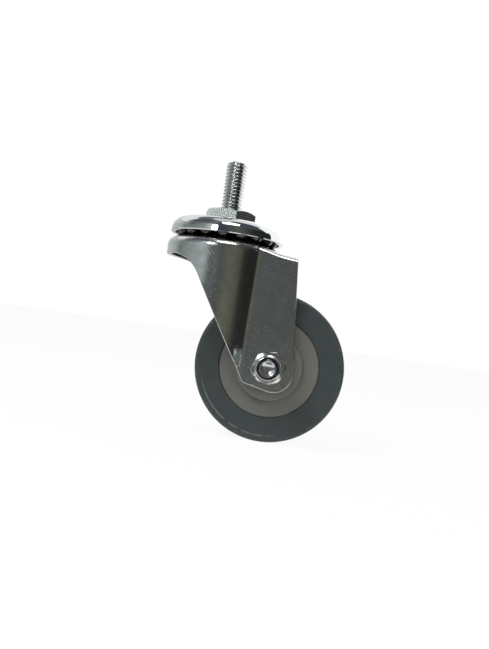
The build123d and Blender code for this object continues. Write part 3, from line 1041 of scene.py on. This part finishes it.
@dataclass
class AxleSet:
    """Axle bolt, lock nut, nylon ring and sleeve, in millimetres."""

    around: int = 72  # steps of 5 degrees, which meet the corners of the turned hexagons
    head_across: float = 14.29
    nut_across: float = 15.4
    turn: float = 10.0
    bolt_radius: float = 4.7625
    bolt_length: float = 57.15
    head_height: float = 6.0
    thread_pitch: float = 1.5875
    thread_depth: float = 0.9
    thread_length: float = 15.0
    thread_rows: int = 121
    run_out: float = 2.0
    tip_chamfer: float = 0.65
    dish: Tuple[Tuple[float, float], ...] = (
        (3.5, 0.06), (3.0, 0.32), (2.4, 0.57), (1.8, 0.76), (1.2, 0.89), (0.5, 0.98))
    foot_edge: float = 0.25
    nut_hex: float = 8.2
    nut_height: float = 11.3
    collar_radius: float = 6.55
    collar_round: float = 1.2
    collar_score: float = 0.12
    lip: float = 0.6
    insert_height: float = 2.4
    insert_radius: float = 5.7325
    bore_radius: float = 4.7825

    def build(self, threads: FormGraph, steel: Paint, nylon: Paint) -> None:
        """Makes the bolt and the nut in place of their solids.

        Args:
            threads: the tree of a screw thread.
            steel: finish of the bolt and the nut.
            nylon: finish of the nut's ring.
        """
        self._build_bolt(threads, steel)
        self._build_nut(steel)
        dress_node("nut_insert", nylon)

    def _near(self) -> Matrix:
        """Frame on the axle at the mid plane, whose +Z leaves the near leg along -Y."""
        axes = Matrix(((1, 0, 0, 0), (0, 0, -1, 0), (0, 1, 0, 0), (0, 0, 0, 1)))
        return Matrix.Translation([size * MM for size in AXLE_MM]) @ axes

    def _bolt_end(self, tip: float) -> bpy.types.Mesh:
        """The dished end of the bolt.

        Args:
            tip: height of its rim.

        Returns:
            The mesh.
        """
        rim = self.bolt_radius - self.tip_chamfer
        end = Turned(self.around).rounds((rim, tip), (rim - 0.3, tip - 0.02))
        end.rounds(*((radius, tip - depth) for radius, depth in self.dish))
        return end.mesh("bolt_end", capped=True)

    def _bolt_head(self, seat: float, thread_start: float) -> bpy.types.Mesh:
        """The shank and the hexagon head.

        Args:
            seat: height where the head bears on the leg.
            thread_start: height where the thread begins.

        Returns:
            The mesh.
        """
        end = seat - self.head_height
        form = HexForm(self.head_across, self.turn)
        flat = form.across / 2
        head = Turned(self.around)
        head.rounds((self.bolt_radius, thread_start), (self.bolt_radius, seat), (flat - 0.3, seat))
        head.add(form.side(seat - self.foot_edge), form.bevel(end, 1))
        head.rounds((flat, end), (flat - 1.0, end))
        return head.mesh("bolt_head", capped=True)

    def _build_bolt(self, threads: FormGraph, steel: Paint) -> None:
        """Makes the bolt: head on the far leg, thread at the near end.

        Args:
            threads: the tree of a screw thread.
            steel: its finish.
        """
        low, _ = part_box("axle_bolt")
        tip = -low.y / MM
        thread_start = tip - self.thread_length
        tube = threads.grow("bolt_thread_tube", {
            "Crest Radius": self.bolt_radius * MM, "Pitch": self.thread_pitch * MM,
            "Depth": self.thread_depth * MM, "Length": self.thread_length * MM,
            "Run Out": self.run_out * MM, "Tip Chamfer": self.tip_chamfer * MM,
            "Around": self.around, "Rows": self.thread_rows, "Material": steel.material})
        for vertex in tube.vertices:
            vertex.co.z += thread_start * MM
        head = self._bolt_head(tip - self.bolt_length, thread_start)
        mesh = finish_mesh([tube, self._bolt_end(tip), head], "axle_bolt_turned", self._near())
        make_piece(mesh, steel, "fork_frame", ["axle_bolt"])

    def _build_nut(self, steel: Paint) -> None:
        """Makes the nut: bevelled hexagon, collar rolled over the ring.

        Args:
            steel: its finish.
        """
        _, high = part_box("axle_nut")
        base = -high.y / MM
        top = base + self.nut_height
        hex_top = base + self.nut_hex
        ring_top = top - self.lip
        ring_foot = ring_top - self.insert_height
        form = HexForm(self.nut_across, self.turn)
        flat, collar = form.across / 2, self.collar_radius
        inner = (self.bore_radius + self.insert_radius) / 2
        shell = Turned(self.around).rounds((self.bore_radius, base), (flat - 0.5, base))
        shell.add(form.side(base + self.foot_edge), form.bevel(hex_top, -1))
        shell.rounds((flat, hex_top), (collar + 0.35, hex_top), (collar + 0.08, hex_top + 0.15),
                     (collar, hex_top + 0.5))
        middle = (collar - self.collar_round, top - self.collar_round)
        shell.arc(middle, self.collar_round, 0, 38, 4)
        shell.arc(middle, self.collar_round - self.collar_score, 42, 50, 1)
        shell.arc(middle, self.collar_round, 54, 90, 4)
        shell.rounds(
            (inner, top - 0.1), (inner, ring_top), (self.insert_radius, ring_top),
            (self.insert_radius, ring_foot), (self.bore_radius, ring_foot))
        mesh = finish_mesh([shell.mesh("nut_shell", closed=True)], "lock_nut_rolled", self._near())
        make_piece(mesh, steel, "fork_frame", ["axle_nut"])


@dataclass
class Wheel:
    """Tyre, core and the two bearings."""

    ball_count: int = 12
    ball_radius: float = 1.190625

    def build(self, rows: FormGraph, ball: Paint) -> None:
        """Makes the bearing balls in place of their solids.

        Args:
            rows: the tree of a ring of balls.
            ball: their finish.
        """
        for side in ("near", "far"):
            low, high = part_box(f"{side}_bearing_balls")
            row = (high.x - low.x) / 2 / MM - self.ball_radius
            mesh = rows.grow(f"{side}_race_balls", {
                "Count": self.ball_count, "Row Radius": row * MM,
                "Ball Radius": self.ball_radius * MM, "Material": ball.material})
            spot = Matrix.Translation((low + high) / 2)
            place = spot @ Matrix.Rotation(math.radians(90), 4, "X")
            mesh = finish_mesh([mesh], f"{side}_race_balls", place, BALL_SHARP)
            make_piece(mesh, ball, f"{side}_ball_set", [f"{side}_bearing_balls"])

    def dress(self, finishes: Dict[str, Paint]) -> None:
        """Finishes the solids that stay.

        Args:
            finishes: every finish by its name.
        """
        dress_node("tyre", finishes["tyre"])
        dress_node("wheel_core", finishes["hub"])
        for side in ("near", "far"):
            dress_node(f"{side}_outer_race", finishes["race"])
            dress_node(f"{side}_inner_race", finishes["race"])
            dress_node(f"{side}_bearing_cage", finishes["cage"])
            for shield in ("outboard", "inboard"):
                dress_node(f"{side}_{shield}_shield", finishes["shield"])


# --- studio ---------------------------------------------------------------------------------------
Stops = Tuple[Tuple[float, Colour], ...]
WHITE = (1.0, 1.0, 1.0)


def towards(azimuth: float, elevation: float) -> Vector:
    """Direction from the castor.

    Args:
        azimuth: angle from -Y towards -X in degrees.
        elevation: angle above the floor in degrees.

    Returns:
        The direction, of length 1.
    """
    turn, lift = math.radians(azimuth), math.radians(elevation)
    return Vector((-math.sin(turn) * math.cos(lift), -math.cos(turn) * math.cos(lift),
                   math.sin(lift)))


def seen_share(graph: Graph) -> Flow:
    """Tells the rays that show a thing itself from those that it lights.

    Args:
        graph: the material's or the world's graph.

    Returns:
        1 for rays from the eye, a mirror or glass, 0 for the rest.
    """
    seen = graph.add("LightPath", output="Is Camera Ray")
    rays = seen.socket.node.outputs
    for kind in ("Is Glossy Ray", "Is Transmission Ray"):
        seen = graph.math("MAXIMUM", seen, Flow(graph, rays[kind]))
    return seen


def hang(name: str, mesh: bpy.types.Mesh, material: bpy.types.Material) -> None:
    """Hangs a sheet in the studio that only polished surfaces show.

    Args:
        name: its name.
        mesh: its mesh.
        material: its material.
    """
    mesh.materials.append(material)
    sheet = bpy.data.objects.new(name, mesh)
    bpy.context.scene.collection.objects.link(sheet)
    sheet.visible_camera = False
    sheet.visible_diffuse = False
    sheet.visible_shadow = False
    sheet.visible_transmission = False
    sheet.visible_volume_scatter = False


@dataclass(frozen=True)
class Card:
    """Flat bright card, placed and sized by the angles it fills, in degrees."""

    name: str
    azimuth: float
    elevation: float
    width: float
    height: float
    strength: float
    colour: Colour = WHITE
    distance: float = 1.4

    def build(self, aim: Vector) -> None:
        """Hangs the card facing the castor.

        Args:
            aim: the castor's middle.
        """
        away = towards(self.azimuth, self.elevation)
        across = towards(self.azimuth + 90, 0)
        upward = across.cross(away)
        half_w = self.distance * math.tan(math.radians(self.width / 2))
        half_h = self.distance * math.tan(math.radians(self.height / 2))
        middle = aim + away * self.distance
        corners = [middle + across * (sx * half_w) + upward * (sy * half_h)
                   for sx, sy in ((-1, -1), (1, -1), (1, 1), (-1, 1))]
        mesh = bpy.data.meshes.new(self.name)
        mesh.from_pydata(corners, [], [(0, 1, 2, 3)])
        hang(self.name, mesh, Glow(self.name).shine(self.colour, self.strength))


@dataclass(frozen=True)
class Canopy:
    """Dim cloth tent round the castor: a mat, a wall and a vault, each graded by azimuth.

    Only polished metal shows it. A small dark patch, a painted shadow of the castor, lies on the floor
    below it, then comes a bare ring of floor, then the mat. The white surroundings show beyond the
    tent's span, and between two heights also beyond the azimuths of open_from. Angles are in degrees,
    reaches in metres. The height of the cloth runs from 0 at the castor over the mat to 1 at the top.
    """

    FLOOR_ROWS = 4

    steps: int = 140
    lifts: Tuple[int, ...] = tuple(range(0, 91, 6))
    reach: float = 1.6
    shade_reach: Tuple[float, float] = (0.042, 0.08)
    shade_span: float = 50.0
    mat_reach: float = 0.13
    mat_side: float = 60.0
    mat_side_reach: float = 1.6
    mat_lift: float = 0.001
    mat_share: float = 0.1
    mat_fade: float = 0.02
    wall_top: float = 14.0
    vault_foot: float = 21.0
    open_from: Tuple[float, float] = (-95.0, 100.0)
    open_top: float = 27.0
    close_top: float = 54.0
    span: Tuple[float, float] = (-104.0, 176.0)
    valance_rise: Tuple[float, float] = (33.0, 40.0)
    valance_share: float = 0.8
    valance: Colour = (0.09, 0.095, 0.12)
    ceiling_rise: Tuple[float, float] = (68.0, 74.0)
    ceiling_side: Tuple[float, float] = (0.22, 0.36)
    ceiling: Colour = (0.75, 0.78, 0.78)
    mat: Stops = (
        (-104, (0.03, 0.03, 0.03)), (-47, (0.03, 0.03, 0.03)), (-37, (0.12, 0.12, 0.09)),
        (-16, (0.17, 0.17, 0.14)), (2, (0.11, 0.12, 0.12)), (30, (0.10, 0.11, 0.11)),
        (44, (0.21, 0.24, 0.24)), (176, (0.60, 0.60, 0.60)),
    )
    wall: Stops = (
        (-104, (0.03, 0.03, 0.03)), (-60, (0.02, 0.02, 0.02)), (-47, (0.03, 0.03, 0.03)),
        (-37, (0.12, 0.12, 0.09)), (-18, (0.15, 0.15, 0.12)), (1, (0.08, 0.09, 0.09)),
        (11, (0.15, 0.16, 0.15)), (20, (0.08, 0.09, 0.11)), (34, (0.50, 0.57, 0.57)),
        (52, (0.40, 0.46, 0.46)), (94, (0.20, 0.23, 0.23)), (108, (0.50, 0.55, 0.55)),
        (176, (0.72, 0.74, 0.74)),
    )
    vault: Stops = (
        (-104, (0.02, 0.02, 0.03)), (-60, (0.02, 0.03, 0.03)), (-46, (0.06, 0.06, 0.06)),
        (-24, (0.12, 0.12, 0.10)), (0, (0.07, 0.08, 0.09)), (16, (0.05, 0.06, 0.08)),
        (34, (0.60, 0.67, 0.67)), (46, (0.28, 0.32, 0.32)), (78, (0.13, 0.15, 0.15)),
        (107, (0.55, 0.58, 0.58)), (176, (0.90, 0.90, 0.90)),
    )

    def _up(self, lift: float) -> float:
        """Height of the cloth at a lift."""
        return self.mat_share + (1.0 - self.mat_share) * lift / 90

    def _azimuth(self, step: float) -> float:
        """Azimuth after a number of steps round."""
        start, end = self.span
        return start + (end - start) * step / self.steps

    def _column(self, azimuth: float, aim: Vector, floor: float) -> List[Tuple[Vector, float]]:
        """Points of the cloth at one azimuth, from the shade out and up.

        Args:
            azimuth: where.
            aim: the castor's middle.
            floor: level of the floor.

        Returns:
            Each point with its height of the cloth.
        """
        out = towards(azimuth, 0)
        mat = self.mat_reach * (self.mat_side_reach if azimuth > self.mat_side else 1.0)
        column = []
        for reach, up in zip((*self.shade_reach, mat, self.reach), (0, 0, 0, self.mat_fade)):
            spot = Vector((aim.x + out.x * reach, aim.y + out.y * reach, floor + self.mat_lift))
            column.append((spot, up))
        for lift in self.lifts:
            column.append((aim + towards(azimuth, lift) * self.reach, self._up(lift)))
        return column

    def _covered(self, row: int, azimuth: float) -> bool:
        """Tells whether cloth fills the gap above a row of points.

        Args:
            row: its number: shade, bare ring, mat, foot of the wall, then one for each lift.
            azimuth: where.

        Returns:
            Whether it does.
        """
        # row 0 is the painted shadow of the castor on the floor
        if row == 0:
            return abs(azimuth) <= self.shade_span
        if row < self.FLOOR_ROWS:
            return row > 1
        lift = self.lifts[row - self.FLOOR_ROWS]
        shut = self.open_from[0] < azimuth < self.open_from[1]
        return shut or lift < self.open_top or lift >= self.close_top

    def _cloth(self) -> bpy.types.Material:
        """Colours the cloth.

        Returns:
            Its material.
        """
        g = Glow("canopy_cloth")
        spread = g.add("SeparateXYZ", values={0: g.add("UVMap", {"uv_map": "round_and_up"})})
        height = Flow(g, spread.socket.node.outputs[1])
        start, end = self.span
        tones = []
        for stops in (self.mat, self.wall, self.vault):
            shares = [((azimuth - start) / (end - start), grey) for azimuth, grey in stops]
            tones.append(g.add("ValToRGB", {"stops": shares}, {0: spread}))
        mat, wall, vault = tones
        tone = g.blend(height.ramp(self.mat_fade, self.mat_share), mat, wall)
        tone = g.blend(height.ramp(self._up(self.wall_top), self._up(self.vault_foot)), tone, vault)
        low, high = map(self._up, self.valance_rise)
        tone = g.blend(height.ramp(low, high) * self.valance_share, tone, self.valance)
        low, high = map(self._up, self.ceiling_rise)
        tone = g.blend(height.ramp(low, high) * spread.ramp(*self.ceiling_side), tone, self.ceiling)
        return g.shine(tone)

    def build(self, aim: Vector, floor: float) -> None:
        """Hangs the tent.

        Args:
            aim: the castor's middle.
            floor: level of the floor in metres.
        """
        points, spots, faces = [], [], []
        for step in range(self.steps + 1):
            for spot, up in self._column(self._azimuth(step), aim, floor):
                points.append(spot)
                spots.append((step / self.steps, up))
        tall = self.FLOOR_ROWS + len(self.lifts)
        for step in range(self.steps):
            for row in range(tall - 1):
                if self._covered(row, self._azimuth(step + 0.5)):
                    base = step * tall + row
                    faces.append((base, base + tall, base + tall + 1, base + 1))
        mesh = bpy.data.meshes.new("canopy")
        mesh.from_pydata(points, [], faces)
        layer = mesh.uv_layers.new(name="round_and_up")
        for loop in mesh.loops:
            layer.data[loop.index].uv = spots[loop.vertex_index]
        hang("canopy", mesh, self._cloth())


@dataclass
class Studio:
    """Camera, lamps, floor, cards and white surroundings."""

    azimuth: float = 3.46
    elevation: float = -0.5
    roll: float = 8.01
    eye: Tuple[float, float, float] = (0.03907, -0.39254, -0.0613)
    lens: float = 41.35
    sensor: float = 36.0
    ambient: float = 0.55
    floor_glow: float = 0.93
    floor_reach: float = 6.0
    canopy: Canopy = Canopy()
    cards: Tuple[Card, ...] = (
        Card("light_above", -9, 59, 26, 16, 5.0),
        Card("window_upper", 24, 28, 11, 5, 10.0),
        Card("window_lower", 24, 19, 11, 6, 10.0),
        Card("cloth_behind", -138, 22, 74, 70, 1.35),
    )

    def camera(self) -> None:
        """Places the camera: direction from azimuth and elevation, then its roll."""
        a, e, r = (math.radians(v) for v in (self.azimuth, self.elevation, self.roll))
        back = Vector((math.sin(a) * math.cos(e), -math.cos(a) * math.cos(e), math.sin(e)))
        level = Vector((0, 0, 1)).cross(back).normalized()
        rise = back.cross(level)
        right = level * math.cos(r) + rise * math.sin(r)
        up = rise * math.cos(r) - level * math.sin(r)
        data = bpy.data.cameras.new("camera")
        data.lens = self.lens
        data.sensor_width = self.sensor
        data.clip_start = 0.01
        camera = bpy.data.objects.new("camera", data)
        camera.matrix_world = Matrix((
            (right.x, up.x, back.x, self.eye[0]), (right.y, up.y, back.y, self.eye[1]),
            (right.z, up.z, back.z, self.eye[2]), (0, 0, 0, 1)))
        bpy.context.scene.collection.objects.link(camera)
        bpy.context.scene.camera = camera

    def lamp(self, name: str, spot: Vector, aim: Vector, size: float, power: float) -> None:
        """Adds a soft square lamp.

        Args:
            name: its name.
            spot: where it hangs.
            aim: what it points at.
            size: side in metres.
            power: watts.
        """
        data = bpy.data.lights.new(name, "AREA")
        data.size = size
        data.energy = power
        lamp = bpy.data.objects.new(name, data)
        lamp.location = spot
        lamp.rotation_euler = (aim - spot).to_track_quat("-Z", "Y").to_euler()
        lamp.visible_glossy = False
        bpy.context.scene.collection.objects.link(lamp)

    def surroundings(self) -> None:
        """White for the eye and for polished metal, a plain level for everything else."""
        world = bpy.data.worlds.new("surroundings")
        bpy.context.scene.world = world
        world.use_nodes = True
        strength = seen_share(Graph(world.node_tree)) * (1.0 - self.ambient) + self.ambient
        sky = world.node_tree.nodes["Background"]
        sky.inputs["Color"].default_value = (*WHITE, 1.0)
        world.node_tree.links.new(strength.socket, sky.inputs["Strength"])

    def floor(self, height: float) -> None:
        """Lays the white floor under the wheel.

        Args:
            height: its level in metres.
        """
        mesh = bpy.data.meshes.new("floor")
        reach = self.floor_reach
        corners = [(sx * reach, sy * reach, height) for sx, sy in ((-1, -1), (1, -1), (1, 1), (-1, 1))]
        mesh.from_pydata(corners, [], [(0, 1, 2, 3)])
        paint = Paint("floor_white")
        paint.set(Base_Color=(0.9, 0.9, 0.9), Roughness=0.9, Specular_IOR_Level=0.1)
        tree = paint.tree
        glow = tree.nodes.new("ShaderNodeEmission")
        mix = tree.nodes.new("ShaderNodeMixShader")
        share = seen_share(paint) * self.floor_glow
        tree.links.new(share.socket, mix.inputs[0])
        tree.links.new(paint.shader.outputs[0], mix.inputs[1])
        tree.links.new(glow.outputs[0], mix.inputs[2])
        tree.links.new(mix.outputs[0], tree.nodes["Material Output"].inputs["Surface"])
        mesh.materials.append(paint.material)
        floor = bpy.data.objects.new("floor", mesh)
        bpy.context.scene.collection.objects.link(floor)

    def build(self) -> None:
        """Sets everything up round the castor."""
        low, high = (Vector(corner) for corner in SOLID_BOX)
        aim = (low + high) / 2
        self.camera()
        self.surroundings()
        self.floor(low.z)
        self.lamp("key_lamp", aim + Vector((-0.5, -0.5, 0.7)), aim, 0.5, 6.0)
        self.lamp("fill_lamp", aim + Vector((0.7, -0.6, 0.2)), aim, 0.6, 3.0)
        self.canopy.build(aim, low.z)
        for card in self.cards:
            card.build(aim)
        bpy.context.scene.view_settings.view_transform = "Standard"


def main() -> None:
    """Builds and dresses the castor, then its studio."""
    logging.basicConfig(level=logging.INFO, format="%(name)s: %(message)s")
    paints = {name: finish.paint() for name, finish in FINISHES.items()}
    threads = thread_graph()
    rows = ball_row_graph()
    Stem().build(threads, paints["stem"])
    head = SwivelHead()
    head.build(rows, paints["ball"])
    head.dress(paints["cap"], paints["cup"])
    dress_node("fork", paints["fork"])
    AxleSet().build(threads, paints["bolt"], paints["nylon"])
    dress_node("axle_sleeve", paints["race"])
    wheel = Wheel()
    wheel.build(rows, paints["ball"])
    wheel.dress(paints)
    Studio().build()


if __name__ == "__main__":
    main()
